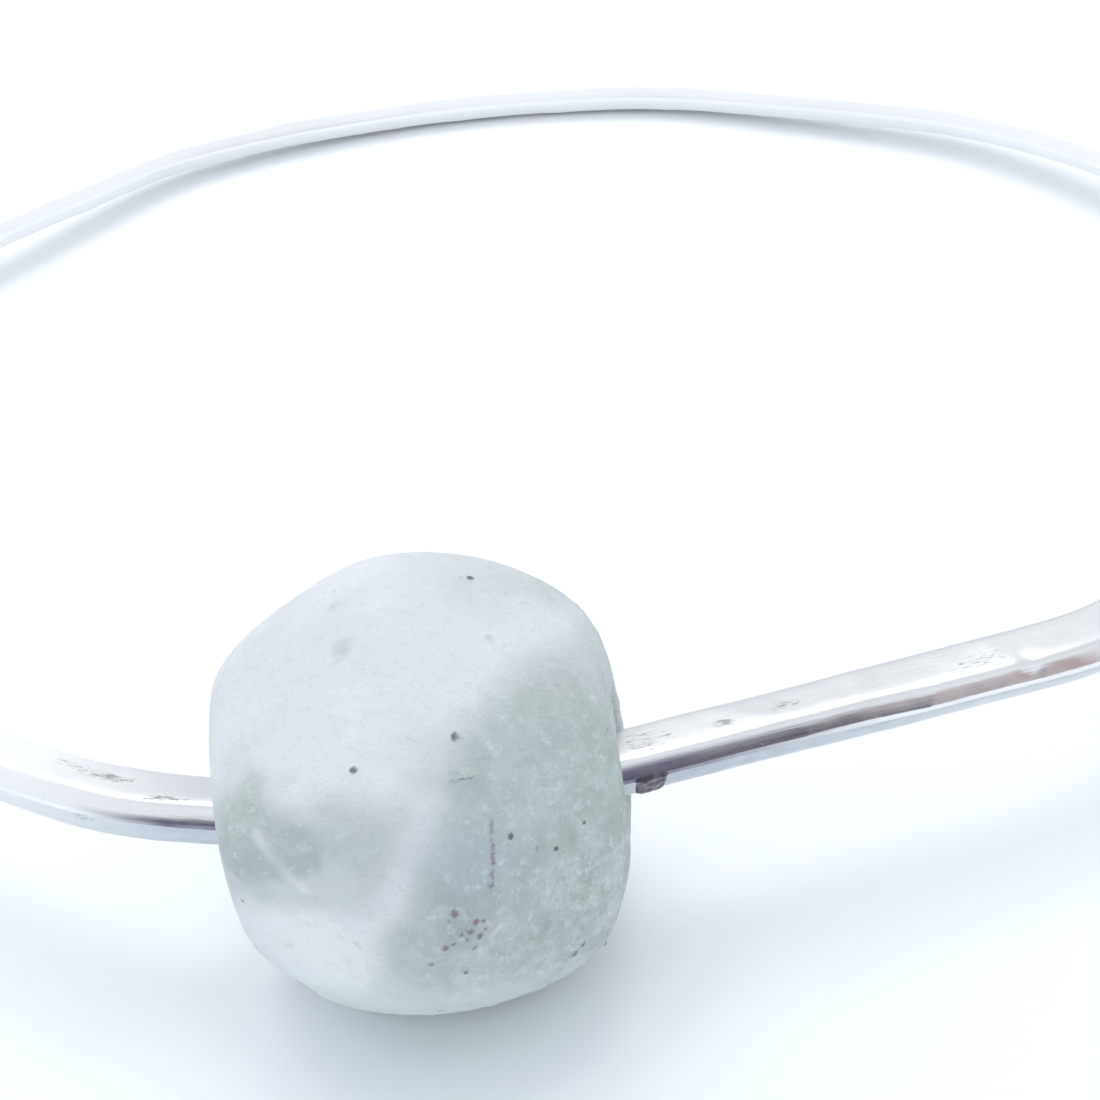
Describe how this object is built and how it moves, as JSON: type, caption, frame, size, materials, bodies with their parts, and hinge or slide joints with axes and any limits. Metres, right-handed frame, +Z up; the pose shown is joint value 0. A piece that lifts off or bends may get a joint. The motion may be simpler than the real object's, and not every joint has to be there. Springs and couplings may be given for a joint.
{
  "type": "bangle bracelet",
  "caption": "Hand-forged silver wire bangle, closed by a solder joint, carrying a large loose tumbled-stone bead that travels round the hoop.",
  "frame": {"origin": "on the table the bracelet lies on, straight below the centre of the hoop", "axes": "+Z up from the table; -Y towards the bead in front, X along the bead's hole; the hoop leans back 5.0 degrees, high at the bead and touching the table at +Y"},
  "size_m": [0.0688, 0.0728, 0.0132],
  "materials": {
    "hoop_silver": "polished",
    "silver_solder": "satin",
    "bead_stone": "matte"
  },
  "bodies": {
    "bead": {"bead": "bead_stone"},
    "hoop": {"hoop": "hoop_silver", "solder_seam": "silver_solder"}
  },
  "joints": [
    {"name": "hoop_through_bead", "type": "hinge", "parent": "bead", "child": "hoop", "pos_m": [0, 0, 0.00361], "axis": [0, 0.0868, 0.9962], "continuous": true}
  ]
}
